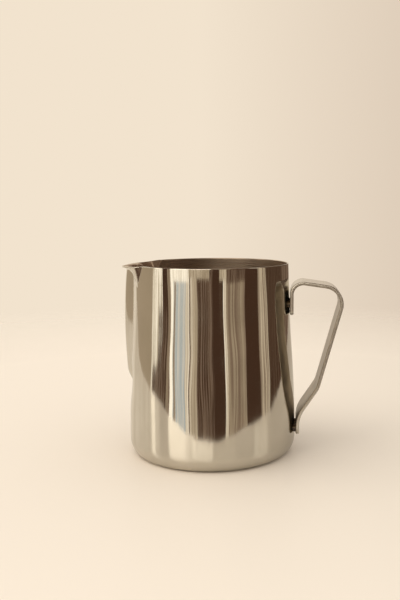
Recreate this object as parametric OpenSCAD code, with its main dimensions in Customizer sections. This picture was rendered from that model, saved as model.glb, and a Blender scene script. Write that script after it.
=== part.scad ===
// Candle melting pot: a drawn steel pot with a pressed pouring spout and a bent
// strap handle that is spot-welded to the wall.
// The origin is the centre of the flat underside. +Z is up, the handle points
// along +X and the spout along -X.

/* [Pot] */
// Height of the rim above the table
pot_h = 100; // [92:1:115]
// Outside radius at the rim
rim_r = 40.8; // [39:0.1:42]
// Outside radius at the widest part of the belly
belly_r = 44.2; // [43.5:0.1:46]
// Thickness of the drawn sheet
wall = 0.8; // [0.6:0.1:1]
// Radius of the round under the belly
corner_r = 10.5; // [9:0.5:13]
// Radius of the tighter heel that meets the flat base
heel_r = 3.5; // [2.5:0.5:4.5]
// Turn that the heel takes before the corner round carries on
heel_turn = 52; // [45:1:60]

/* [Spout] */
// Reach of the keel beyond the rim circle, just under the lip
keel_reach = 4.9; // [4:0.1:6]
// Reach of the flared lip beyond the rim circle, before its tip is trimmed
lip_reach = 8.1; // [7:0.1:9]
// Height of the flared lip
lip_h = 6; // [5:0.5:8]
// Drop of the lip's tip below the rim
lip_drop = 1.8; // [0.5:0.1:2.5]
// Length of the keel from the rim down to where it turns in
keel_length = 54; // [48:1:58]
// Length of the turned-in toe under the keel
toe_length = 6; // [5:0.5:8]
// Outside radius of the pressed keel
keel_nose_r = 3; // [2.5:0.1:4]
// Half of the angle that the channel takes at the rim
channel_half_angle = 22; // [18:1:24]
// Half of the angle that the flared lip takes at the rim
lip_half_angle = 39; // [36:1:42]

/* [Handle] */
// Width of the strap
strap_w = 22; // [16:1:26]
// Thickness of the strap
strap_t = 1.8; // [1.5:0.1:2.2]
// Rounding of the corners at the strap's two ends
tab_corner_r = 3; // [2:0.5:4]
// Gap between the wall and each tab, filled at the welds
stand_off = 0.5; // [0.3:0.1:0.8]
// Height of the upper tab's lower end
upper_tab_z = 73.5; // [70:0.5:76]
// Height of the strap where it leaves the wall
shoulder_z = 91; // [89:0.5:93]
// Reach of the outer corner from the pot's axis
grip_reach = 70.6; // [66:0.1:75]
// Height of the outer corner
grip_top_z = 87; // [85:0.5:88]
// Reach of the knee at the foot of the grip
knee_reach = 56.1; // [54:0.1:58]
// Height of the knee
knee_z = 35.4; // [33:0.1:38]
// Height at which the strap turns down against the belly
ankle_z = 19.7; // [18.5:0.1:21]
// Height of the lower tab's lower end
lower_tab_z = 10.2; // [9:0.1:11]

/* [Welds] */
// Diameter of a spot weld
weld_d = 4; // [3:0.5:4.5]
// Distance between the two spot welds of a tab
weld_pitch = 11; // [9:0.5:13]

/* [Hidden] */
$fn = 96;
steel = "silver";
polished_steel = "gainsboro";
weld_steel = "darkgray";

// The side is two equal arcs, upright at belly and rim, that meet in an S.
belly_z = heel_r + (corner_r - heel_r) * cos(heel_turn);
side_h = pot_h - belly_z;
side_mid_z = (belly_z + pot_h) / 2;
sway_turn = 2 * atan((belly_r - rim_r) / side_h);
sway_r = side_h / 2 / sin(sway_turn);
corner_x = belly_r - corner_r;
heel_x = corner_x + (corner_r - heel_r) * sin(heel_turn);
arc_steps = 6;
over = 1;

// Points of an arc after its first one, from angle a to angle b
function arc(centre, r, a, b, steps = arc_steps) =
    [for (i = [1 : steps]) centre + r * along(a + (b - a) * i / steps)];
function along(angle) = [cos(angle), sin(angle)];

// Outside radius of the side at a height between belly and rim
function side_r(z) = z < side_mid_z
    ? belly_r - sway_r + sqrt(sway_r ^ 2 - (z - belly_z) ^ 2)
    : rim_r + sway_r - sqrt(sway_r ^ 2 - (pot_h - z) ^ 2);

// Half of the pot's section from the axis to its skin, inset from the outside
function half_section(inset, top) = concat(
    [[0, top], [0, inset], [heel_x, inset]],
    arc([heel_x, heel_r], heel_r - inset, -90, heel_turn - 90),
    arc([corner_x, belly_z], corner_r - inset, heel_turn - 90, 0),
    arc([belly_r - sway_r, belly_z], sway_r - inset, 0, sway_turn),
    arc([rim_r + sway_r, pot_h], sway_r + inset, 180 + sway_turn, 180),
    top > pot_h ? [[rim_r - inset, top]] : []
);

module turned_pot(inset, top) {
    rotate_extrude($fn = 360)
        polygon(half_section(inset, top));
}

// The keel runs down from under the lip, bows out a little and turns in at the toe.
keel_bow = 1.2;
keel_bow_share = 0.55;
keel_foot_drop = 0.6;
toe_in = 1.4;
toe_nose_r = 1.6;
toe_end_length = 3;
lip_nose_r = 2;
root_r = 3;
root_sink = 0.3;
// The lip leaves the wall in two short wings, which turn at a shoulder.
shoulder_turn = 6;
shoulder_share = 0.21;
wing_turn = 7;
wing_h = 9.5;
lip_hinge_x = -rim_r * cos(lip_half_angle);
lip_tilt = atan(lip_drop / (rim_r + lip_reach + lip_hinge_x));
former_h = 1;
keel_top_r = rim_r + keel_reach;
keel_bow_r = keel_top_r + keel_bow;
keel_foot_r = keel_bow_r - keel_foot_drop;
keel_foot_z = pot_h - keel_length;
toe_z = keel_foot_z - toe_length;
toe_end_z = toe_z - toe_end_length;

// A round former inside the spout, whose far side is at reach from the axis
module former(angle, reach, z, r, inset) {
    rotate(180 + angle)
        translate([reach - r, 0, z])
            cylinder(h = former_h, r = r - inset, $fn = 32);
}

module root_formers(half_angle, z, inset) {
    for (side = [-1, 1])
        former(side * half_angle, side_r(min(z, pot_h)) - root_sink, z, root_r, inset);
}

// The space that the spout fills, inset from its outside and open above the rim
module spout(inset) {
    hull() {
        former(0, keel_top_r, pot_h, keel_nose_r, inset);
        former(0, keel_bow_r, pot_h - keel_bow_share * keel_length, keel_nose_r, inset);
        former(0, keel_foot_r, keel_foot_z, keel_nose_r, inset);
        former(0, keel_foot_r - toe_in, toe_z, toe_nose_r, inset);
        former(0, side_r(toe_end_z) - root_sink, toe_end_z, toe_nose_r, inset);
        root_formers(channel_half_angle, pot_h, inset);
    }
    hull() {
        former(0, rim_r + lip_reach, pot_h, lip_nose_r, inset);
        former(0, keel_top_r, pot_h - lip_h, keel_nose_r, inset);
        for (side = [-1, 1])
            former(side * (lip_half_angle - shoulder_turn), rim_r + shoulder_share * lip_reach,
                pot_h, root_r, inset);
        root_formers(lip_half_angle, pot_h, inset);
        root_formers(lip_half_angle - wing_turn, pot_h - wing_h, inset);
    }
}

// What is trimmed off above the level rim and above the lip, which droops to its tip
module rim_trim() {
    translate([-2 * belly_r, -2 * belly_r, pot_h])
        cube([4 * belly_r, 4 * belly_r, 2 * former_h]);
    translate([lip_hinge_x, 0, pot_h])
        rotate([0, -lip_tilt, 0])
            translate([-belly_r, -belly_r, 0])
                cube([belly_r, 2 * belly_r, 2 * former_h + lip_drop]);
}

// The strap's middle line in the XZ plane, from the upper tab to the lower one
upper_tab_x = side_r((upper_tab_z + shoulder_z) / 2) + stand_off + strap_t / 2;
lower_tab_x = belly_r + stand_off + strap_t / 2;
strap_line = [
    [upper_tab_x, upper_tab_z],
    [upper_tab_x, shoulder_z],
    [grip_reach, grip_top_z],
    [knee_reach, knee_z],
    [lower_tab_x, ankle_z],
    [lower_tab_x, lower_tab_z]
];
bend_r = [0, 5.9, 9.3, 10.6, 15.8, 0];
bend_step = 4;
last = len(strap_line) - 1;

function heading(i) = atan2(strap_line[i + 1].y - strap_line[i].y, strap_line[i + 1].x - strap_line[i].x);
function wrap(angle) = angle > 180 ? angle - 360 : angle < -180 ? angle + 360 : angle;
function turn(i) = wrap(heading(i) - heading(i - 1));
function setback(i) = bend_r[i] * tan(abs(turn(i)) / 2);
function left(angle) = along(angle + 90);

// Points of a bend, moved to the left of the strap's middle line
function bend(i, shift) =
    let (
        side = sign(turn(i)),
        start = strap_line[i] - setback(i) * along(heading(i - 1)),
        centre = start + side * bend_r[i] * left(heading(i - 1)),
        first = heading(i - 1) - side * 90,
        r = bend_r[i] - side * shift
    )
    concat([centre + r * along(first)],
        arc(centre, r, first, first + turn(i), ceil(abs(turn(i)) / bend_step)));

// One edge of the strap seen from the side
function strap_edge(shift) = concat(
    [strap_line[0] + shift * left(heading(0))],
    [for (i = [1 : last - 1]) each bend(i, shift)],
    [strap_line[last] + shift * left(heading(last - 1))]
);
function backwards(points) = [for (i = [len(points) - 1 : -1 : 0]) points[i]];

// What is cut from the two corners of a tab to round them
module tab_corners(x, end_z) {
    translate([x - strap_t, 0, 0])
        rotate([90, 0, 90])
            linear_extrude(2 * strap_t)
                for (side = [-1, 1])
                    translate([side * (strap_w / 2 - tab_corner_r), end_z + tab_corner_r])
                        difference() {
                            translate([side > 0 ? 0 : -tab_corner_r - over, -tab_corner_r - over])
                                square(tab_corner_r + over);
                            circle(tab_corner_r);
                        }
}

// Two spot welds that fill the gap between the wall and a tab
module spot_welds(z, tab_x) {
    difference() {
        for (side = [-1, 1])
            translate([rim_r / 2, side * weld_pitch / 2, z])
                rotate([0, 90, 0])
                    cylinder(h = tab_x - strap_t / 2 - rim_r / 2, d = weld_d);
        turned_pot(0, pot_h);
    }
}

module pot_body() {
    color(polished_steel)
        difference() {
            union() {
                turned_pot(0, pot_h);
                spout(0);
            }
            turned_pot(wall, pot_h + over);
            spout(wall);
            rim_trim();
        }
}

module strap_handle() {
    color(steel)
        difference() {
            rotate([90, 0, 0])
                linear_extrude(strap_w, center = true)
                    polygon(concat(strap_edge(strap_t / 2), backwards(strap_edge(-strap_t / 2))));
            tab_corners(upper_tab_x, upper_tab_z);
            tab_corners(lower_tab_x, lower_tab_z);
        }
}

module upper_spot_welds() {
    color(weld_steel)
        spot_welds((upper_tab_z + shoulder_z - setback(1)) / 2, upper_tab_x);
}

module lower_spot_welds() {
    color(weld_steel)
        spot_welds((lower_tab_z + ankle_z - setback(last - 1)) / 2, lower_tab_x);
}

pot_body();
strap_handle();
upper_spot_welds();
lower_spot_welds();
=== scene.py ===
"""Dresses the candle melting pot: a polished drawn pot with a pressed spout and a satin strap handle."""

import logging
import math
from dataclasses import dataclass
from enum import Enum
from typing import Any

import bpy
import numpy as np
from mathutils import Matrix, Vector


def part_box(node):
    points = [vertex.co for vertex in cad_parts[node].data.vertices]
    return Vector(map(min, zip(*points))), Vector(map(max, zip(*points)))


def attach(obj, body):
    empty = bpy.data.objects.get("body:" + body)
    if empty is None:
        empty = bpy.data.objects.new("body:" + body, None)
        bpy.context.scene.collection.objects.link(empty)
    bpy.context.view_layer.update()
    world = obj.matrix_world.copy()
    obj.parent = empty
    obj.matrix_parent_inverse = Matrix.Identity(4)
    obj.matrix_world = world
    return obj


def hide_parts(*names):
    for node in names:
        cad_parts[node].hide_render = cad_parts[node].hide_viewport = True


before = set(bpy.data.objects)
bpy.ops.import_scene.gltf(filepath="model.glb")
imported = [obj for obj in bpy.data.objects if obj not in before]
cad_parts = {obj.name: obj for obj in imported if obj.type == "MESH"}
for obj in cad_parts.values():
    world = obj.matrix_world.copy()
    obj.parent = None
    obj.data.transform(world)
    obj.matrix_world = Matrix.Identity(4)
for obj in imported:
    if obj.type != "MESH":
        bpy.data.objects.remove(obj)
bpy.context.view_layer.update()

logging.basicConfig(level=logging.INFO, format="%(message)s")
log = logging.getLogger("melting_pot")

Point = tuple[float, float, float]
Colour = tuple[float, float, float]
Span = tuple[float, float]
Socket = bpy.types.NodeSocket

MM = 0.001
BODY = "root"
UNIT: Span = (0.0, 1.0)
QUARTER_TURN = 0.25


class Slot(Enum):
    """Names for the pot's and the handle's material slots, which nothing here uses."""

    POT = "pot_steel"
    HANDLE = "handle_steel"


class Axis(Enum):
    """Axes that a row of edges is spun round."""

    UPRIGHT = (0.0, 0.0, 1.0)
    ACROSS = (0.0, -1.0, 0.0)


class Tone(Enum):
    """Colours of the cards that the steel mirrors."""

    DARK = (0.072, 0.036, 0.021)
    UMBER = (0.13, 0.08, 0.052)
    BROWN = (0.25, 0.17, 0.12)
    BEIGE = (0.47, 0.37, 0.26)
    SAND = (0.72, 0.60, 0.45)
    PALE = (1.15, 1.02, 0.86)
    WHITE = (1.5, 1.38, 1.2)
    COOL = (0.55, 0.61, 0.63)
    GREY = (0.86, 0.80, 0.73)
    BRIGHT = (3.2, 2.9, 2.5)


def soft_min(a: Any, b: Any, k: float) -> Any:
    """The lesser of two values, rounded off where they come within k of each other."""
    return np.minimum(a, b) - np.maximum(k - np.abs(a - b), 0) ** 2 / (4 * k)


def soft_rise(a: Any, k: float) -> Any:
    """A value where it is positive and zero elsewhere, rounded off within k of zero."""
    return -soft_min(-a, 0.0, k)


def smooth_step(low: float, high: float, a: Any) -> Any:
    """An even climb from 0 at low to 1 at high."""
    t = np.clip((a - low) / (high - low), 0, 1)
    return t * t * (3 - 2 * t)


def seed_vertex(name: str, at: Point) -> bpy.types.Object:
    """Start a mesh from one vertex and stay in edit mode.

    Args:
        name: Name of the new object.
        at: Place of the vertex, in metres.

    Returns:
        The new object, at the origin, with its vertex selected.
    """
    bpy.ops.object.select_all(action="DESELECT")
    bpy.ops.mesh.primitive_plane_add(size=MM, location=(0, 0, 0))
    obj = bpy.context.object
    obj.name = name
    obj.data.name = name
    bpy.ops.object.mode_set(mode="EDIT")
    bpy.ops.mesh.select_all(action="SELECT")
    bpy.ops.mesh.merge(type="CENTER")
    bpy.ops.transform.translate(value=at)
    return obj


def extrude(step: Point) -> None:
    """Extrude what is selected by a step, in metres."""
    bpy.ops.mesh.extrude_region_move(TRANSFORM_OT_translate={"value": step})


def spin(degrees: float, steps: int, centre: Point, axis: Axis) -> None:
    """Spin what is selected, anticlockwise as seen against the axis.

    Args:
        degrees: Turn of the spin.
        steps: Number of rows that the spin adds.
        centre: A point on the axis, in metres.
        axis: Direction of the axis.
    """
    bpy.ops.mesh.spin(steps=steps, angle=-math.radians(degrees), center=centre, axis=axis.value)


def apply_modifier(obj: bpy.types.Object, kind: str, **settings: Any) -> None:
    """Add one modifier to an object in object mode and apply it.

    Args:
        obj: The active object.
        kind: Type of the modifier.
        settings: Its settings by name.
    """
    modifier = obj.modifiers.new(kind.title(), kind)
    for name, value in settings.items():
        setattr(modifier, name, value)
    bpy.ops.object.modifier_apply(modifier=modifier.name)


def read_points(obj: bpy.types.Object) -> np.ndarray:
    """Read the vertices of a mesh.

    Args:
        obj: An object in object mode.

    Returns:
        The vertices as rows, in millimetres.
    """
    points = np.empty(len(obj.data.vertices) * 3)
    obj.data.vertices.foreach_get("co", points)
    return points.reshape(-1, 3) / MM


def write_points(obj: bpy.types.Object, points: np.ndarray) -> None:
    """Set the vertices of a mesh from rows in millimetres."""
    obj.data.vertices.foreach_set("co", (points * MM).ravel())
    obj.data.update()


class NodeTree:
    """A node tree under construction."""

    def __init__(self, tree: bpy.types.NodeTree) -> None:
        """Start from an empty tree."""
        self.tree = tree
        self.tree.nodes.clear()

    def add(self, kind: str, settings: dict[str, Any] | None = None, **inputs: Any) -> bpy.types.Node:
        """Add a node.

        Args:
            kind: Type of the node, without its ShaderNode prefix.
            settings: Properties of the node.
            inputs: Values or source sockets by input name, with _ for a space.

        Returns:
            The new node.
        """
        node = self.tree.nodes.new("ShaderNode" + kind)
        for name, value in (settings or {}).items():
            setattr(node, name, value)
        for name, value in inputs.items():
            self.plug(node.inputs[name.replace("_", " ")], value)
        return node

    def plug(self, socket: Socket, value: Any) -> None:
        """Feed an input.

        Args:
            socket: The input.
            value: A source to link to it, or a plain value to set it to.
        """
        if isinstance(value, Socket):
            self.tree.links.new(value, socket)
        else:
            socket.default_value = value

    def math(self, operation: str, *values: Any) -> Socket:
        """Combine values in a Math node.

        Args:
            operation: What the node does.
            values: Values or sockets, in the order of its inputs.

        Returns:
            The result.
        """
        node = self.add("Math", {"operation": operation})
        for socket, value in zip(node.inputs, values):
            self.plug(socket, value)
        return node.outputs[0]

    def dot(self, vector: Socket, way: Point) -> Socket:
        """Measure a vector along a direction.

        Args:
            vector: The vector.
            way: The direction, of length 1.

        Returns:
            The measure.
        """
        node = self.add("VectorMath", {"operation": "DOT_PRODUCT"}, Vector=vector)
        node.inputs[1].default_value = way
        return node.outputs["Value"]

    def length(self, vector: Socket) -> Socket:
        """The length of a vector."""
        return self.add("VectorMath", {"operation": "LENGTH"}, Vector=vector).outputs["Value"]

    def stretched(self, vector: Socket, scale: Point) -> Socket:
        """Scale a vector along each axis by its own factor.

        Args:
            vector: The vector.
            scale: The factors.

        Returns:
            The scaled vector.
        """
        node = self.add("VectorMath", {"operation": "MULTIPLY"}, Vector=vector)
        node.inputs[1].default_value = scale
        return node.outputs[0]

    def ranged(self, value: Socket, source: Span, target: Span) -> Socket:
        """A value carried from one range over to another, and clamped."""
        ends = {"From_Min": source[0], "From_Max": source[1], "To_Min": target[0], "To_Max": target[1]}
        return self.add("MapRange", Value=value, **ends).outputs["Result"]

    def ramp(self, value: Socket, places: tuple[float, ...], colours: tuple[Colour, ...]) -> Socket:
        """Pick a colour by a value.

        Args:
            value: The value, from 0 to 1.
            places: Values at which a colour is reached, in rising order.
            colours: The colour for each place.

        Returns:
            The colour.
        """
        node = self.add("ValToRGB", Fac=value)
        while len(node.color_ramp.elements) < len(places):
            node.color_ramp.elements.new(0.5)
        for element, place, colour in zip(node.color_ramp.elements, places, colours):
            element.position = place
            element.color = (*colour, 1.0)
        return node.outputs["Color"]

    def blend(self, share: Socket, first: Socket, second: Socket) -> Socket:
        """Mix two shaders.

        Args:
            share: Share of the second shader.
            first: The shader at share 0.
            second: The shader at share 1.

        Returns:
            The mixed shader.
        """
        node = self.add("MixShader", Fac=share)
        self.plug(node.inputs[1], first)
        self.plug(node.inputs[2], second)
        return node.outputs[0]


class Recipe(NodeTree):
    """A node material under construction."""

    def __init__(self, name: str) -> None:
        """Start a material with nothing but an output and Object coordinates.

        Args:
            name: Name of the material.
        """
        self.material = bpy.data.materials.new(name)
        self.material.use_nodes = True
        super().__init__(self.material.node_tree)
        self.output = self.add("OutputMaterial")
        self.object_coords = self.add("TexCoord").outputs["Object"]

    def noise(self, vector: Socket, scale: float = 1.0, detail: float = 2.0) -> Socket:
        """A noise value from 0 to 1 on a vector."""
        return self.add("TexNoise", Vector=vector, Scale=scale, Detail=detail).outputs["Fac"]

    def turning_lines(self, along: float, across: float) -> Socket:
        """Noise drawn out round the upright axis, as a lathe or a buffing wheel leaves it.

        Args:
            along: Scale along each line.
            across: Scale from line to line, up the wall and out across the base.

        Returns:
            The noise value.
        """
        radius = self.length(self.stretched(self.object_coords, (1.0, 1.0, 0.0)))
        place = self.add("SeparateXYZ", Vector=self.object_coords)
        path = self.math("ADD", place.outputs["Z"], radius)
        line = self.add("CombineXYZ", X=place.outputs["X"], Y=place.outputs["Y"], Z=path)
        return self.noise(self.stretched(line.outputs[0], (along, along, across)), detail=3.0)

    def bump(self, height: Socket, distance: float, under: Socket | None = None) -> Socket:
        """Raise the surface by a height.

        Args:
            height: The height, from 0 to 1.
            distance: What height 1 stands for, in metres.
            under: A bump that this one lies on.

        Returns:
            The normal.
        """
        node = self.add("Bump", Height=height, Distance=distance, Strength=1.0)
        if under is not None:
            self.plug(node.inputs["Normal"], under)
        return node.outputs["Normal"]

    def metal(self, colour: Socket, roughness: Socket, normal: Socket, smear: float = 0.0,
              metallic: float = 1.0) -> bpy.types.Material:
        """Close the material with a metal shader.

        Args:
            colour: Colour of the metal.
            roughness: How dull it is.
            normal: Its bumps.
            smear: How far lines round the upright axis draw reflections out along the axis.
            metallic: Share of bare metal; the rest is a film of dust and grease.

        Returns:
            The finished material.
        """
        shader = self.add("BsdfPrincipled", Base_Color=colour, Metallic=metallic, Roughness=roughness,
                          Normal=normal)
        if smear:
            around = self.add("Tangent", {"direction_type": "RADIAL", "axis": "Z"})
            self.plug(shader.inputs["Tangent"], around.outputs[0])
            shader.inputs["Anisotropic"].default_value = smear
            shader.inputs["Anisotropic Rotation"].default_value = QUARTER_TURN
        return self.close(shader.outputs[0])

    def close(self, shader: Socket) -> bpy.types.Material:
        """The material, finished with a shader."""
        self.plug(self.output.inputs["Surface"], shader)
        return self.material


@dataclass(frozen=True)
class PolishedSteel:
    """Mirror-polished sheet with faint buffing lines, finger haze and a slightly wavy wall."""

    pale: Colour = (0.69, 0.655, 0.575)
    dull: Colour = (0.63, 0.60, 0.52)
    roughness: Span = (0.05, 0.10)
    haze_scale: float = 55.0
    haze_tones: Span = (0.35, 0.75)
    haze_range: Span = (0.40, 0.75)
    wave_scale: Point = (45.0, 45.0, 20.0)
    wave: float = 0.0005
    line_depth: float = 0.000002
    smear: float = 0.83

    def material(self) -> bpy.types.Material:
        """Mix the finish.

        Returns:
            The finished material.
        """
        recipe = Recipe("polished_steel")
        haze = recipe.noise(recipe.object_coords, scale=self.haze_scale, detail=5.0)
        lines = recipe.turning_lines(along=6.0, across=2600.0)
        wave = recipe.noise(recipe.stretched(recipe.object_coords, self.wave_scale), detail=1.0)
        colour = recipe.ramp(haze, self.haze_tones, (self.pale, self.dull))
        roughness = recipe.ranged(haze, self.haze_range, self.roughness)
        normal = recipe.bump(lines, self.line_depth, recipe.bump(wave, self.wave))
        return recipe.metal(colour, roughness, normal, smear=self.smear)


@dataclass(frozen=True)
class ShadedSatinWall:
    """The satin inside of the pot, with the fine rings that spinning leaves, and painted shade: its colour
    is darker and browner than the outer steel's, for the shade in the pot's hollow.
    """

    # painted shade: both tones are darker and browner than the outer steel's, for the shade inside the pot
    pale: Colour = (0.56, 0.445, 0.34)
    dull: Colour = (0.465, 0.36, 0.267)
    roughness: Span = (0.26, 0.34)
    stain_scale: float = 35.0
    stain_tones: Span = (0.3, 0.75)
    line_range: Span = (0.3, 0.7)
    line_depth: float = 0.000004

    def material(self) -> bpy.types.Material:
        """Mix the finish.

        Returns:
            The finished material.
        """
        recipe = Recipe("satin_inside_painted_shade")
        lines = recipe.turning_lines(along=10.0, across=1500.0)
        stain = recipe.noise(recipe.object_coords, scale=self.stain_scale, detail=4.0)
        colour = recipe.ramp(stain, self.stain_tones, (self.pale, self.dull))
        roughness = recipe.ranged(lines, self.line_range, self.roughness)
        return recipe.metal(colour, roughness, recipe.bump(lines, self.line_depth))


@dataclass(frozen=True)
class BrushedStrap:
    """Satin strip steel with its grain along the strap and light handling wear."""

    name: str = "brushed_strap"
    pale: Colour = (0.68, 0.645, 0.57)
    dull: Colour = (0.58, 0.545, 0.47)
    roughness: Span = (0.26, 0.19)
    grain_scale: Point = (45.0, 3200.0, 45.0)
    grain_share: float = 0.5
    grain_depth: float = 0.000004
    wear_scale: float = 90.0
    wear_range: Span = (0.35, 0.65)
    metallic: float = 0.93

    def material(self) -> bpy.types.Material:
        """Mix the finish.

        Returns:
            The finished material.
        """
        recipe = Recipe(self.name)
        grain = recipe.noise(recipe.stretched(recipe.object_coords, self.grain_scale), detail=3.0)
        wear = recipe.noise(recipe.object_coords, scale=self.wear_scale, detail=5.0)
        worn = recipe.math("MULTIPLY", wear, 1 - self.grain_share)
        mixed = recipe.math("MULTIPLY_ADD", grain, self.grain_share, worn)
        colour = recipe.ramp(mixed, self.wear_range, (self.dull, self.pale))
        roughness = recipe.ranged(mixed, self.wear_range, self.roughness)
        normal = recipe.bump(grain, self.grain_depth)
        return recipe.metal(colour, roughness, normal, metallic=self.metallic)


@dataclass(frozen=True)
class ShadedStrapInside:
    """The strap's inner side, dull, with its colour darkened and browned as painted shade, since that side
    faces the pot, away from the light.
    """

    # painted shade: far darker than the outer strap's tones, so the inner side and its image in the pot's
    # wall read dark
    pale: Colour = (0.41, 0.345, 0.262)
    dull: Colour = (0.30, 0.25, 0.187)
    roughness: Span = (0.28, 0.40)
    grain_scale: Point = (60.0, 1800.0, 60.0)
    grain_range: Span = (0.3, 0.7)
    grain_depth: float = 0.00001
    stain_scale: float = 120.0
    stain_tones: Span = (0.35, 0.65)
    metallic: float = 0.65

    def material(self) -> bpy.types.Material:
        """Mix the finish.

        Returns:
            The finished material.
        """
        recipe = Recipe("strap_inside_painted_shade")
        grain = recipe.noise(recipe.stretched(recipe.object_coords, self.grain_scale), detail=3.0)
        stain = recipe.noise(recipe.object_coords, scale=self.stain_scale, detail=5.0)
        colour = recipe.ramp(stain, self.stain_tones, (self.dull, self.pale))
        roughness = recipe.ranged(grain, self.grain_range, self.roughness)
        normal = recipe.bump(grain, self.grain_depth)
        return recipe.metal(colour, roughness, normal, metallic=self.metallic)


@dataclass(frozen=True)
class WeldedSteel:
    """Bare weld metal, dark and rough, with straw and blue heat tints."""

    scale: Colour = (0.08, 0.06, 0.05)
    straw: Colour = (0.20, 0.15, 0.09)
    blue: Colour = (0.10, 0.10, 0.12)
    roughness: Span = (0.38, 0.62)
    tint_scale: float = 420.0
    tint_tones: tuple[float, float, float] = (0.3, 0.5, 0.7)
    pit_scale: float = 1800.0
    pit_range: Span = (0.3, 0.7)
    pit_depth: float = 0.00004

    def material(self) -> bpy.types.Material:
        """Mix the finish.

        Returns:
            The finished material.
        """
        recipe = Recipe("welded_steel")
        tint = recipe.noise(recipe.object_coords, scale=self.tint_scale, detail=3.0)
        pits = recipe.noise(recipe.object_coords, scale=self.pit_scale, detail=4.0)
        colour = recipe.ramp(tint, self.tint_tones, (self.scale, self.straw, self.blue))
        roughness = recipe.ranged(pits, self.pit_range, self.roughness)
        return recipe.metal(colour, roughness, recipe.bump(pits, self.pit_depth))


@dataclass
class Spout:
    """The spout pressed out of the wall, in millimetres and in degrees from its middle."""

    rim_z: float
    hinge_x: float = 31.7
    keel_r: float = 46.9
    keel_bow_z: float = 68.0
    keel_bow: float = 0.0016
    toe_r: float = 43.2
    toe_z: float = 36.4
    toe_slope: float = 0.5
    toe_blend: float = 0.8
    cheek_turn: float = 33.0
    nose_turn: float = 2.2
    crease_blend: float = 0.15
    flare_turns: tuple[float, ...] = (0.0, 4.0, 10.0, 14.0, 31.0)
    flare_heights: tuple[float, ...] = (5.0, 4.4, 1.7, 1.6, 11.5)
    lip_reach: float = 7.03
    lip_slope: float = 0.155
    lip_nose_turn: float = 3.0
    lip_curl: float = 1.35
    wing_slope: float = 0.36
    wing_foot_turn: float = 31.0
    wing_rim_turn: float = 39.0
    wing_blend: float = 0.12
    join_power: float = 5.0
    droop: float = 0.135
    droop_h: float = 12.0
    droop_blend: float = 2.0
    dent: float = 2.5
    dent_turn: float = 15.0
    dent_blend: float = 1.0
    dent_low_z: float = 23.0
    dent_high_z: float = 40.0
    dent_end_z: float = 52.0

    def press(self, points: np.ndarray) -> np.ndarray:
        """Press the spout out of a plain wall.

        Args:
            points: Rows of the turned wall, in millimetres.

        Returns:
            The same rows after pressing.
        """
        x, y, z = points.T
        radius = np.hypot(x, y)
        turn = np.degrees(np.arctan2(y, -x))
        flare_h = np.interp(np.abs(turn), self.flare_turns, self.flare_heights)
        rise = np.clip((z - self.rim_z + flare_h) / flare_h, 0, 1)
        proud = self.channel_r(z, turn) - radius
        channel = soft_rise(proud, self.crease_blend) * (z > self.dent_low_z)
        bill = soft_rise(self.bill_reach(rise, turn), self.wing_blend) * (rise > 0)
        pushed = (channel ** self.join_power + bill ** self.join_power) ** (1 / self.join_power)
        pushed -= self.dent_depth(z, turn) * (1 - smooth_step(-self.dent_blend, 0.0, proud))
        scale = 1 + pushed / np.maximum(radius, 1.0)
        x = x * scale
        y = y * scale
        fall = np.clip((z - self.rim_z + self.droop_h) / self.droop_h, 0, 1) ** 2
        z = z - self.droop * fall * soft_rise(-x - self.hinge_x, self.droop_blend)
        return np.stack((x, y, z), axis=1)

    def channel_r(self, z: np.ndarray, turn: np.ndarray) -> np.ndarray:
        """Shape the V channel with its two flat cheeks.

        Args:
            z: Heights.
            turn: Turns from the spout's middle.

        Returns:
            Radius of the channel's skin.
        """
        keel = self.keel_r - self.keel_bow * (z - self.keel_bow_z) ** 2
        toe = self.toe_r + self.toe_slope * (z - self.toe_z)
        nose = np.sqrt(turn ** 2 + self.nose_turn ** 2) - self.nose_turn
        facing = np.radians(self.cheek_turn)
        away = np.radians(np.minimum(nose, self.cheek_turn)) - facing
        return soft_min(keel, toe, self.toe_blend) * np.cos(facing) / np.cos(away)

    def bill_reach(self, rise: np.ndarray, turn: np.ndarray) -> np.ndarray:
        """Shape the flared lip with a flat wing at each side.

        Args:
            rise: Share of the flare's height, from 0 to 1 at the rim.
            turn: Turns from the spout's middle.

        Returns:
            Reach of the lip beyond the wall.
        """
        nose = np.sqrt(turn ** 2 + self.lip_nose_turn ** 2) - self.lip_nose_turn
        root = self.wing_foot_turn + (self.wing_rim_turn - self.wing_foot_turn) * rise
        lip = (self.lip_reach - self.lip_slope * nose) * rise ** self.lip_curl
        return soft_min(lip, self.wing_slope * (root - np.abs(turn)), self.wing_blend)

    def dent_depth(self, z: np.ndarray, turn: np.ndarray) -> np.ndarray:
        """Shape the dent under the toe, where pressing drew the wall in.

        Args:
            z: Heights.
            turn: Turns from the spout's middle.

        Returns:
            Depth of the dent.
        """
        climb = smooth_step(self.dent_low_z, self.dent_high_z, z)
        fade = 1 - smooth_step(self.dent_high_z, self.dent_end_z, z)
        return self.dent * climb * fade * np.exp(-(turn / self.dent_turn) ** 2)


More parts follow.
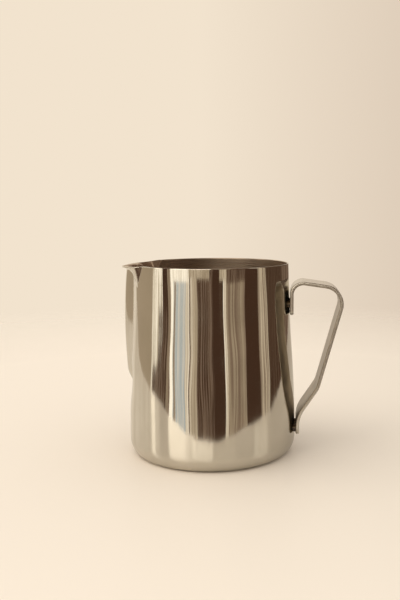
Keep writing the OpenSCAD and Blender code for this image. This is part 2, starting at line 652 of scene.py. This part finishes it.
@dataclass
class PotBody:
    """The drawn pot with its spout, one sheet of steel, in millimetres and degrees."""

    height: float
    belly_r: float
    rim_r: float = 41.0
    wall: float = 0.8
    corner_r: float = 10.5
    corner_rows: int = 8
    heel_r: float = 3.5
    heel_rows: int = 7
    heel_turn: float = 52.0
    row_h: float = 1.7
    toe_row_h: float = 0.7
    toe_rows: Span = (31.0, 47.0)
    lip_row_h: float = 0.42
    lip_rows_z: float = 87.0
    spout_turn: float = 104.0
    spout_columns: int = 208
    plain_columns: int = 200
    seam_gap: float = 0.01
    rim_round: float = 0.32
    rim_steps: int = 3
    rim_edge_turn: float = 60.0
    rim_lean: float = 0.20
    rim_lean_h: float = 8.0
    base_rings: tuple[float, ...] = (0.25, 0.5, 0.75, 1.0)
    outside: PolishedSteel = PolishedSteel()
    inside: ShadedSatinWall = ShadedSatinWall()

    def profile(self) -> list[Span]:
        """Lay out the outer half section.

        Returns:
            Its points from the middle of the base to the rim, as radius and height.
        """
        turn = math.radians(self.heel_turn)
        corner_x = self.belly_r - self.corner_r
        belly_z = self.heel_r + (self.corner_r - self.heel_r) * math.cos(turn)
        heel_x = corner_x + (self.corner_r - self.heel_r) * math.sin(turn)
        points = [(share * heel_x, 0.0) for share in self.base_rings]
        for step in range(1, self.heel_rows + 1):
            angle = turn * step / self.heel_rows
            radius = heel_x + self.heel_r * math.sin(angle)
            points.append((radius, self.heel_r * (1 - math.cos(angle))))
        for step in range(1, self.corner_rows + 1):
            angle = turn + (math.pi / 2 - turn) * step / self.corner_rows
            radius = corner_x + self.corner_r * math.sin(angle)
            points.append((radius, belly_z - self.corner_r * math.cos(angle)))
        z = belly_z
        while z < self.height:
            z += self.next_row_h(z)
            if z > self.height - self.lip_row_h / 2:
                z = self.height
            points.append((self.side_r(z, belly_z), z))
        return points

    def next_row_h(self, z: float) -> float:
        """Choose the height of the next row of faces, which is less at the spout's toe and lip.

        Args:
            z: Height that the row starts from.

        Returns:
            The row's height.
        """
        if z >= self.lip_rows_z:
            return self.lip_row_h
        return self.toe_row_h if self.toe_rows[0] <= z < self.toe_rows[1] else self.row_h

    def side_r(self, z: float, belly_z: float) -> float:
        """Follow the side, two equal arcs that meet in an S, drawn in a little at the rim.

        Args:
            z: A height between belly and rim.
            belly_z: Height of the widest part.

        Returns:
            The outer radius there.
        """
        side_h = self.height - belly_z
        sway_turn = 2 * math.atan((self.belly_r - self.rim_r) / side_h)
        sway_r = side_h / 2 / math.sin(sway_turn)
        if z < (belly_z + self.height) / 2:
            return self.belly_r - sway_r + math.sqrt(sway_r ** 2 - (z - belly_z) ** 2)
        lean = self.rim_lean * max(1 - (self.height - z) / self.rim_lean_h, 0) ** 2
        return self.rim_r - lean + sway_r - math.sqrt(sway_r ** 2 - (self.height - z) ** 2)

    def build(self) -> bpy.types.Object:
        """Draw the section, spin it, press the spout, and give the sheet its thickness.

        Returns:
            The finished pot.
        """
        start = math.radians(180 - self.spout_turn / 2)
        out = Vector((math.cos(start), math.sin(start), 0.0))
        pot = seed_vertex("polished_pot", (0.0, 0.0, 0.0))
        last = Vector((0.0, 0.0, 0.0))
        for radius, z in self.profile():
            point = (out * radius + Vector((0.0, 0.0, z))) * MM
            extrude(point - last)
            last = point
        bpy.ops.mesh.select_all(action="SELECT")
        spin(self.spout_turn, self.spout_columns, (0, 0, 0), Axis.UPRIGHT)
        spin(360 - self.spout_turn, self.plain_columns, (0, 0, 0), Axis.UPRIGHT)
        bpy.ops.mesh.select_all(action="SELECT")
        bpy.ops.mesh.remove_doubles(threshold=self.seam_gap * MM)
        bpy.ops.mesh.normals_make_consistent(inside=False)
        bpy.ops.object.mode_set(mode="OBJECT")
        write_points(pot, Spout(rim_z=self.height).press(read_points(pot)))
        finishes = (self.outside, self.inside)
        for finish in finishes:
            pot.data.materials.append(finish.material())
        apply_modifier(pot, "SOLIDIFY", thickness=self.wall * MM, offset=-1.0, use_even_offset=True,
                       material_offset=finishes.index(self.inside))
        write_points(pot, np.minimum(read_points(pot), (np.inf, np.inf, self.height)))
        apply_modifier(pot, "BEVEL", width=self.rim_round * MM, segments=self.rim_steps,
                       limit_method="ANGLE", angle_limit=math.radians(self.rim_edge_turn))
        bpy.ops.object.shade_smooth()
        return pot

    def dress(self, pot: bpy.types.Object) -> None:
        """Let the pot stand for its node.

        Args:
            pot: The finished pot.
        """
        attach(pot, BODY)
        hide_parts("pot_body")
        log.info("%s: %d faces", pot.name, len(pot.data.polygons))


@dataclass
class StrapHandle:
    """The bent strap that is welded to the wall by a tab at each end, in millimetres and degrees."""

    upper_tab_x: float
    lower_tab_x: float
    width: float
    upper_tab_z: float = 73.5
    shoulder_z: float = 91.0
    grip_reach: float = 70.6
    grip_top_z: float = 87.0
    knee_reach: float = 56.1
    knee_z: float = 35.4
    ankle_z: float = 19.7
    lower_tab_z: float = 10.2
    thickness: float = 1.8
    bend_radii: tuple[float, ...] = (5.9, 9.3, 10.6, 15.8)
    bend_step: float = 3.0
    row_h: float = 1.5
    columns: int = 38
    edge_columns: tuple[float, ...] = (0.03, 0.07, 0.12, 0.18, 0.25)
    edge_round: float = 0.50
    tab_corner_r: float = 3.0
    tab_corner_rows: int = 8
    tab_row_h: float = 0.75
    tab_slack: float = 0.01
    weld_pitch: float = 11.0
    weld_r: float = 2.1
    weld_flat_r: float = 1.155
    weld_dent: float = 0.16
    weld_heights: Span = (78.85, 12.55)
    face_slack: float = 0.02
    outside: BrushedStrap = BrushedStrap()
    # the inner side carries painted shade
    inside: ShadedStrapInside = ShadedStrapInside()
    sheared: BrushedStrap = BrushedStrap("sheared_edge", roughness=(0.37, 0.31), grain_depth=0.000002)

    def build(self) -> bpy.types.Object:
        """Lay a row of edges across the upper tab and carry it along the strap.

        Returns:
            The finished strap.
        """
        line = [
            Vector((self.upper_tab_x, 0.0, self.upper_tab_z)),
            Vector((self.upper_tab_x, 0.0, self.shoulder_z)),
            Vector((self.grip_reach, 0.0, self.grip_top_z)),
            Vector((self.knee_reach, 0.0, self.knee_z)),
            Vector((self.lower_tab_x, 0.0, self.ankle_z)),
            Vector((self.lower_tab_x, 0.0, self.lower_tab_z)),
        ]
        half_width = Vector((0.0, self.width / 2, 0.0))
        strap = seed_vertex("bent_strap", (line[0] - half_width) * MM)
        plain = (self.width - 2 * sum(self.edge_columns)) / self.columns
        for step in (*self.edge_columns, *[plain] * self.columns, *reversed(self.edge_columns)):
            extrude((0.0, step * MM, 0.0))
        bpy.ops.mesh.select_all(action="SELECT")
        self.carry_row(line)
        bpy.ops.mesh.select_all(action="SELECT")
        bpy.ops.mesh.normals_make_consistent(inside=False)
        bpy.ops.object.mode_set(mode="OBJECT")
        write_points(strap, self.round_tabs(read_points(strap)))
        finishes = (self.outside, self.inside, self.sheared)
        for finish in finishes:
            strap.data.materials.append(finish.material())
        apply_modifier(strap, "SOLIDIFY", thickness=self.thickness * MM, offset=0.0, use_even_offset=True,
                       material_offset=finishes.index(self.inside),
                       material_offset_rim=finishes.index(self.sheared))
        write_points(strap, self.dent_welds(self.round_edges(read_points(strap))))
        bpy.ops.object.shade_smooth()
        return strap

    def carry_row(self, line: list[Vector]) -> None:
        """Extrude the selected row along each straight run and spin it through each bend.

        Args:
            line: Corners of the strap's middle line, in millimetres.
        """
        here = line[0]
        for corner, before, after, radius in zip(line[1:-1], line, line[2:], self.bend_radii):
            inward = (corner - before).normalized()
            outward = (after - corner).normalized()
            side = math.copysign(1.0, inward.cross(outward).y)
            turn = inward.angle(outward)
            start = corner - inward * radius * math.tan(turn / 2)
            centre = start + side * radius * Vector((inward.z, 0.0, -inward.x))
            self.run(start - here, from_tab=here == line[0])
            steps = math.ceil(math.degrees(turn) / self.bend_step)
            spin(-side * math.degrees(turn), steps, centre * MM, Axis.ACROSS)
            here = corner + outward * radius * math.tan(turn / 2)
        self.run(line[-1] - here, to_tab=True)

    def run(self, way: Vector, from_tab: bool = False, to_tab: bool = False) -> None:
        """Extrude the row straight on, with close rows where a tab's corners are rounded.

        Args:
            way: The run, in millimetres.
            from_tab: The run starts at the end of a tab.
            to_tab: The run finishes at the end of a tab.
        """
        steps = max(1, round(way.length / self.row_h))
        stops = [i / steps for i in range(1, steps + 1)]
        if from_tab or to_tab:
            share = self.tab_corner_r / way.length
            turns = [math.pi / 2 * i / self.tab_corner_rows for i in range(1, self.tab_corner_rows + 1)]
            plain = max(1, round(way.length * (1 - share) / self.tab_row_h))
            stops = [share * (1 - math.cos(turn)) for turn in turns]
            stops += [share + (1 - share) * i / plain for i in range(1, plain + 1)]
        if to_tab:
            stops = [1 - stop for stop in reversed(stops)][1:] + [1.0]
        done = 0.0
        for stop in stops:
            extrude(way * (stop - done) * MM)
            done = stop

    def tab_ends(self, points: np.ndarray) -> list[tuple[np.ndarray, np.ndarray]]:
        """Find the points at the rounded end of each tab.

        Args:
            points: Points on the strap's middle sheet, in millimetres.

        Returns:
            For each tab, the height of every point above its end and whether the point is near it.
        """
        ends = []
        for x, end_z in ((self.upper_tab_x, self.upper_tab_z), (self.lower_tab_x, self.lower_tab_z)):
            rise = points[:, 2] - end_z
            level = (rise > -self.tab_slack) & (rise < self.tab_corner_r)
            ends.append((rise, level & (np.abs(points[:, 0] - x) < self.thickness)))
        return ends

    def round_tabs(self, points: np.ndarray) -> np.ndarray:
        """Draw in the rows at each tab's end to round its two corners.

        Args:
            points: Points of the strap's middle sheet, in millimetres.

        Returns:
            The moved points.
        """
        r = self.tab_corner_r
        for rise, near in self.tab_ends(points):
            half = self.width / 2 - r + np.sqrt(np.maximum(r ** 2 - (r - rise) ** 2, 0))
            points[near, 1] *= half[near] / (self.width / 2)
        return points

    def round_edges(self, points: np.ndarray) -> np.ndarray:
        """Thin the strap towards its outline, so that its edges turn round.

        Args:
            points: One side of the strap after the other, in millimetres.

        Returns:
            The moved points.
        """
        outer, inner = np.split(points, 2)
        middle = (outer + inner) / 2
        half = (outer - inner) / 2
        r = self.edge_round
        depth = np.clip(self.inset(middle), 0, r)
        sag = r - np.sqrt(r ** 2 - (r - depth) ** 2)
        half *= (1 - 2 * sag / self.thickness)[:, None]
        return np.concatenate((middle + half, middle - half))

    def inset(self, points: np.ndarray) -> np.ndarray:
        """Measure how far points lie inside the strap's outline.

        Args:
            points: Points of the strap's middle sheet, in millimetres.

        Returns:
            Their distances from the outline.
        """
        r = self.tab_corner_r
        inset = self.width / 2 - np.abs(points[:, 1])
        for rise, near in self.tab_ends(points):
            corner = r - np.hypot(np.maximum(r - inset, 0), np.maximum(r - rise, 0))
            inset[near] = corner[near]
        return inset

    def dent_welds(self, points: np.ndarray) -> np.ndarray:
        """Press the round marks of the welding tips into the tabs' outer faces.

        Args:
            points: Points of the strap, in millimetres.

        Returns:
            The moved points.
        """
        for x, z in zip((self.upper_tab_x, self.lower_tab_x), self.weld_heights):
            outer = np.abs(points[:, 0] - x - self.thickness / 2) < self.face_slack
            for side in (-1, 1):
                away = np.hypot(points[:, 1] - side * self.weld_pitch / 2, points[:, 2] - z)
                depth = self.weld_dent * (1 - smooth_step(self.weld_flat_r, self.weld_r, away))
                points[outer, 0] -= depth[outer]
        return points

    def dress(self, strap: bpy.types.Object) -> None:
        """Let the strap stand for its node.

        Args:
            strap: The finished strap.
        """
        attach(strap, BODY)
        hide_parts("strap_handle")
        log.info("%s: %d faces", strap.name, len(strap.data.polygons))


@dataclass
class SpotWelds:
    """The welds that fill the gap between the tabs and the wall."""

    nodes: tuple[str, ...] = ("upper_spot_welds", "lower_spot_welds")
    finish: WeldedSteel = WeldedSteel()

    def dress(self) -> None:
        """Give both pairs of welds their finish."""
        material = self.finish.material()
        for name in self.nodes:
            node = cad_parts[name]
            node.data.materials.clear()
            node.data.materials.append(material)
            log.info("%s: dressed", name)


@dataclass(frozen=True)
class Card:
    """A curved card that only the steel sees, by its turn from the camera's side and its height."""

    name: str
    left: float
    right: float
    dark: Tone
    light: Tone
    streaks: float = 60.0
    low: float = -1.3
    high: float = 1.5
    ahead: float = 0.0


CARDS = (
    Card("left_wing", -141.0, -93.0, Tone.BEIGE, Tone.BEIGE, 8.0),
    Card("left_glow", -93.0, -73.0, Tone.SAND, Tone.WHITE, 60.0),
    Card("left_post", -73.0, -64.0, Tone.DARK, Tone.DARK),
    Card("left_foot", -90.0, -66.0, Tone.DARK, Tone.BROWN, 50.0, low=-1.3, high=-0.17, ahead=0.02),
    Card("left_shin", -80.0, -66.0, Tone.DARK, Tone.BROWN, low=-0.17, high=-0.09, ahead=0.02),
    Card("left_blind", -64.0, -59.0, Tone.BROWN, Tone.BEIGE, 50.0),
    Card("left_strip", -59.0, -55.0, Tone.WHITE, Tone.WHITE),
    Card("cool_panel", -55.0, -38.0, Tone.COOL, Tone.GREY, 35.0),
    Card("cool_post", -54.0, -51.5, Tone.BROWN, Tone.BEIGE, ahead=0.01),
    Card("cool_edge", -38.0, -29.0, Tone.SAND, Tone.PALE, 30.0),
    Card("cool_bar", -33.0, -31.5, Tone.UMBER, Tone.BROWN, ahead=0.01),
    Card("front_beige", -29.0, -21.0, Tone.BEIGE, Tone.SAND, 40.0),
    Card("front_folds", -21.0, 2.0, Tone.DARK, Tone.BROWN, 60.0),
    Card("front_post", 2.0, 17.0, Tone.DARK, Tone.DARK),
    Card("front_gap", 17.0, 21.0, Tone.SAND, Tone.PALE, 40.0),
    Card("right_folds", 21.0, 47.0, Tone.BROWN, Tone.BEIGE, 30.0),
    Card("right_post", 47.0, 68.5, Tone.DARK, Tone.DARK),
    Card("right_gap", 68.5, 84.5, Tone.BROWN, Tone.SAND, 30.0),
    Card("right_shade", 84.5, 122.0, Tone.DARK, Tone.UMBER, 40.0),
    Card("rim_window", -56.0, -34.0, Tone.PALE, Tone.WHITE, 30.0, low=0.0, high=0.3, ahead=0.03),
    Card("rim_sand", -34.0, -3.0, Tone.BEIGE, Tone.SAND, 30.0, low=0.05, high=0.3, ahead=0.03),
    Card("rim_spot", 11.0, 22.0, Tone.BEIGE, Tone.SAND, 40.0, low=0.02, high=0.3, ahead=0.03),
    Card("rim_shade", 22.0, 47.0, Tone.DARK, Tone.BROWN, 50.0, low=-0.02, high=0.3, ahead=0.03),
    Card("upper_left", -134.0, -60.0, Tone.BROWN, Tone.WHITE, 60.0, low=0.3, ahead=0.02),
    Card("upper_strip", -91.0, -83.0, Tone.BRIGHT, Tone.BRIGHT, low=0.3, ahead=0.03),
    Card("upper_bar", -75.0, -60.0, Tone.DARK, Tone.DARK, low=0.3, ahead=0.03),
    Card("upper_window", -60.0, -38.0, Tone.BRIGHT, Tone.BRIGHT, low=0.3, ahead=0.02),
    Card("upper_front", -38.0, -1.0, Tone.PALE, Tone.BRIGHT, 50.0, low=0.3, ahead=0.02),
    Card("upper_post", -1.0, 29.0, Tone.DARK, Tone.SAND, 60.0, low=0.3, ahead=0.02),
    Card("upper_shade", 29.0, 56.0, Tone.DARK, Tone.UMBER, 60.0, low=0.3, ahead=0.02),
    Card("upper_gap", 56.0, 79.0, Tone.SAND, Tone.WHITE, 50.0, low=0.5, ahead=0.02),
    Card("upper_right", 79.0, 122.0, Tone.DARK, Tone.BROWN, low=0.3, ahead=0.02),
    Card("right_edge", 122.0, 160.0, Tone.UMBER, Tone.BROWN, 30.0, low=-0.17, high=0.15),
    Card("right_foot", 122.0, 152.0, Tone.UMBER, Tone.BROWN, 30.0, high=-0.17),
    Card("right_back", 122.0, 160.0, Tone.DARK, Tone.UMBER, low=0.15),
)


@dataclass
class Studio:
    """Camera, floor, cards, lamp and world round the pot, in metres and degrees."""

    frame_px: tuple[int, int] = (400, 600)
    focal_px: float = 727.4
    axis_px: float = 240.0
    camera_away: float = 0.3846
    camera_h: float = 0.12706
    clip_start: float = 0.01
    pitch: float = 6.965
    roll: float = -0.253
    yaw: float = 2.238
    turn: float = 6.07
    floor_size: float = 14.0
    floor_z: float = -0.0001
    floor_colour: Colour = (0.93, 0.80, 0.645)
    # painted shade: the floor's colour darkens towards the right, away from the lamp
    floor_shaded: Colour = (0.87, 0.75, 0.604)
    floor_shade: Span = (0.0, 0.14)
    floor_fade: Span = (0.28, 0.60)
    floor_roughness: float = 0.42
    floor_gloss: float = 0.25
    mirrored_roughness: float = 0.20
    mirrored_gloss: float = 0.6
    # painted shade: the floor that the steel mirrors is a dimmer copy of the floor's colour
    mirrored_shade: float = 0.84
    table_edges: tuple[Span, ...] = (
        (90.0, 0.103), (49.0, 0.187), (24.9, 0.243), (133.5, 0.141), (180.0, 0.315), (270.0, 0.58),
    )
    table_round: float = 0.05
    table_rough_scale: float = 30.0
    table_rough: float = 0.022
    table_fade: Span = (0.006, 0.016)
    card_r: float = 2.0
    card_step: float = 1.5
    streak_stretch: Point = (1.0, 1.0, 0.08)
    streak_detail: float = 4.0
    streak_tones: Span = (0.42, 0.58)
    overhead: Colour = (0.20, 0.13, 0.09)
    overhead_dim: float = 0.7
    overhead_z: float = 1.5
    cloud_scale: float = 1.5
    cloud_tones: Span = (0.3, 0.7)
    card_hidden_from: tuple[str, ...] = ("camera", "diffuse", "transmission", "shadow", "volume_scatter")
    backdrop: Colour = (0.887, 0.768, 0.617)
    # painted shade: the backdrop darkens towards the right
    backdrop_shaded: Colour = (0.735, 0.615, 0.49)
    backdrop_shade: Span = (-0.05, 0.22)
    ambient: float = 0.90
    sun_strength: float = 0.78
    sun_angle: float = 55.0
    sun_from: Point = (-0.75, -0.25, 1.0)

    def build(self) -> None:
        """Set up everything round the object."""
        bpy.context.scene.view_settings.view_transform = "Standard"
        self.place_camera()
        self.lay_floor()
        for card in CARDS:
            self.hang_card(card)
        self.hang_overhead()
        self.set_world()
        self.hang_lamp()

    def place_camera(self) -> None:
        """Put the camera where the view is taken from, a little above the pot's rim."""
        pitch, roll, yaw, turn = (math.radians(a) for a in (self.pitch, self.roll, self.yaw, self.turn))
        ahead = Vector((math.sin(yaw) * math.cos(pitch), math.cos(yaw) * math.cos(pitch), -math.sin(pitch)))
        level = Vector((math.cos(yaw), -math.sin(yaw), 0.0))
        rise = level.cross(ahead)
        right = math.cos(roll) * level + math.sin(roll) * rise
        up = -math.sin(roll) * level + math.cos(roll) * rise
        swing = Matrix.Rotation(turn, 3, "Z")
        place = Matrix((swing @ right, swing @ up, swing @ -ahead)).transposed().to_4x4()
        place.translation = swing @ Vector((0.0, -self.camera_away, self.camera_h))
        bpy.ops.object.camera_add()
        camera = bpy.context.object
        camera.matrix_world = place
        camera.data.lens = self.focal_px * camera.data.sensor_width / max(self.frame_px)
        camera.data.shift_x = (self.frame_px[0] / 2 - self.axis_px) / max(self.frame_px)
        camera.data.clip_start = self.clip_start
        bpy.context.scene.camera = camera

    def lay_floor(self) -> None:
        """Lay a pale, slightly glossy floor."""
        bpy.ops.object.select_all(action="DESELECT")
        bpy.ops.mesh.primitive_plane_add(size=self.floor_size, location=(0, 0, self.floor_z))
        floor = bpy.context.object
        floor.name = "floor"
        floor.data.materials.append(self.floor_material())

    def floor_material(self) -> bpy.types.Material:
        """Mix the floor's finish, with painted shade towards the right and a dimmer, painted-shade copy for
        the steel, which mirrors only a tabletop's width.

        Returns:
            The finished material.
        """
        recipe = Recipe("pale_floor")
        # painted shade: the floor's colour ramps darker towards the right
        shade = recipe.ranged(self.edge_distance(recipe, 0.0, 0.0), self.floor_shade, UNIT)
        colour = recipe.ramp(shade, UNIT, (self.floor_colour, self.floor_shaded))
        # painted shade: the steel sees a dimmed copy of the floor's colour
        dim = recipe.stretched(colour, (self.mirrored_shade,) * 3)
        top = recipe.add("BsdfPrincipled", Base_Color=colour, Roughness=self.floor_roughness,
                         Specular_IOR_Level=self.floor_gloss)
        mirrored = recipe.add("BsdfPrincipled", Base_Color=dim, Roughness=self.mirrored_roughness,
                              Specular_IOR_Level=self.mirrored_gloss)
        clear = recipe.add("BsdfTransparent").outputs[0]
        far = recipe.ranged(recipe.length(recipe.object_coords), self.floor_fade, UNIT)
        beyond = recipe.ranged(self.table_distance(recipe), self.table_fade, (1.0, 0.0))
        direct = recipe.blend(far, top.outputs[0], clear)
        reflected = recipe.blend(beyond, mirrored.outputs[0], clear)
        glossy = recipe.add("LightPath").outputs["Is Glossy Ray"]
        return recipe.close(recipe.blend(glossy, direct, reflected))

    def table_distance(self, recipe: Recipe) -> Socket:
        """Measure a floor point from the outline of the tabletop that the steel mirrors.

        Args:
            recipe: The floor's material.

        Returns:
            The distance inside the outline, which is slightly ragged.
        """
        table = self.edge_distance(recipe, *self.table_edges[0])
        for degrees, reach in self.table_edges[1:]:
            edge = self.edge_distance(recipe, degrees, reach)
            table = recipe.math("SMOOTH_MIN", table, edge, self.table_round)
        ragged = recipe.noise(recipe.object_coords, scale=self.table_rough_scale, detail=3.0)
        return recipe.math("MULTIPLY_ADD", ragged, self.table_rough, table)

    def edge_distance(self, recipe: Recipe, degrees: float, reach: float) -> Socket:
        """Measure a floor point from a straight edge.

        Args:
            recipe: The floor's material.
            degrees: Direction from the edge inward, where 90 leads away from the camera.
            reach: Distance of the edge from the pot's axis.

        Returns:
            The distance, negative outside the edge.
        """
        way = math.radians(degrees + self.turn)
        inward = recipe.dot(recipe.object_coords, (math.cos(way), math.sin(way), 0.0))
        return recipe.math("ADD", inward, reach)

    def hang_card(self, card: Card) -> None:
        """Spin an upright edge into a curved card.

        Args:
            card: Which card to hang.
        """
        facing = self.turn - 90.0
        start = math.radians(facing + card.left)
        radius = self.card_r - card.ahead
        edge = (radius * math.cos(start), radius * math.sin(start), card.low)
        panel = seed_vertex(card.name, edge)
        extrude((0.0, 0.0, card.high - card.low))
        bpy.ops.mesh.select_all(action="SELECT")
        arc = card.right - card.left
        spin(arc, math.ceil(arc / self.card_step), (0, 0, 0), Axis.UPRIGHT)
        bpy.ops.object.mode_set(mode="OBJECT")
        recipe = Recipe(card.name)
        upright = recipe.stretched(recipe.object_coords, self.streak_stretch)
        streaks = recipe.noise(upright, card.streaks / self.card_r, self.streak_detail)
        colour = recipe.ramp(streaks, self.streak_tones, (card.dark.value, card.light.value))
        self.light_card(panel, recipe, colour)

    def hang_overhead(self) -> None:
        """Hang a dark round card above, which the open pot and the strap look up to."""
        bpy.ops.object.select_all(action="DESELECT")
        bpy.ops.mesh.primitive_circle_add(radius=self.card_r, fill_type="NGON",
                                          location=(0, 0, self.overhead_z))
        panel = bpy.context.object
        panel.name = "overhead"
        recipe = Recipe("overhead")
        clouds = recipe.noise(recipe.object_coords, scale=self.cloud_scale)
        dim = tuple(self.overhead_dim * c for c in self.overhead)
        self.light_card(panel, recipe, recipe.ramp(clouds, self.cloud_tones, (dim, self.overhead)))

    def light_card(self, panel: bpy.types.Object, recipe: Recipe, colour: Socket) -> None:
        """Make a card glow for the steel alone.

        Args:
            panel: The card.
            recipe: Its material.
            colour: Where its colour comes from.
        """
        glow = recipe.add("Emission", Color=colour, Strength=1.0)
        panel.data.materials.append(recipe.close(glow.outputs[0]))
        for ray in self.card_hidden_from:
            setattr(panel, "visible_" + ray, False)

    def set_world(self) -> None:
        """Show the pale backdrop, with painted shade towards the right, to the camera and the steel, and
        light the rest evenly.
        """
        world = bpy.data.worlds.new("studio")
        world.use_nodes = True
        sky = NodeTree(world.node_tree)
        right = math.radians(self.turn - self.yaw)
        looking = sky.add("TexCoord").outputs["Generated"]
        across = sky.dot(looking, (math.cos(right), math.sin(right), 0.0))
        # painted shade: the backdrop's colour ramps darker towards the right
        shade = sky.ranged(across, self.backdrop_shade, UNIT)
        seen = sky.add("Background", Color=sky.ramp(shade, UNIT, (self.backdrop, self.backdrop_shaded)))
        lit = sky.add("Background", Color=(1.0, 1.0, 1.0, 1.0), Strength=self.ambient)
        path = sky.add("LightPath")
        shown = path.outputs["Is Camera Ray"]
        for ray in ("Is Glossy Ray", "Is Transmission Ray"):
            shown = sky.math("MAXIMUM", shown, path.outputs[ray])
        sky.add("OutputWorld", Surface=sky.blend(shown, lit.outputs[0], seen.outputs[0]))
        bpy.context.scene.world = world

    def hang_lamp(self) -> None:
        """Hang one broad soft lamp to the left."""
        bpy.ops.object.light_add(type="SUN")
        sun = bpy.context.object
        sun.rotation_euler = Vector(self.sun_from).to_track_quat("Z", "Y").to_euler()
        sun.data.energy = self.sun_strength
        sun.data.angle = math.radians(self.sun_angle)
        sun.visible_glossy = False


def main() -> None:
    """Build the pot and its handle, dress the welds and set up the studio."""
    pot_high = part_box("pot_body")[1]
    pot = PotBody(height=pot_high.z / MM, belly_r=pot_high.y / MM)
    pot.dress(pot.build())
    strap_low, strap_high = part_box("strap_handle")
    weld_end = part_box("lower_spot_welds")[1].x
    half_strap = StrapHandle.thickness / 2
    strap = StrapHandle(
        upper_tab_x=strap_low.x / MM + half_strap,
        lower_tab_x=weld_end / MM + half_strap,
        width=(strap_high.y - strap_low.y) / MM,
    )
    strap.dress(strap.build())
    SpotWelds().dress()
    Studio().build()


if __name__ == "__main__":
    main()
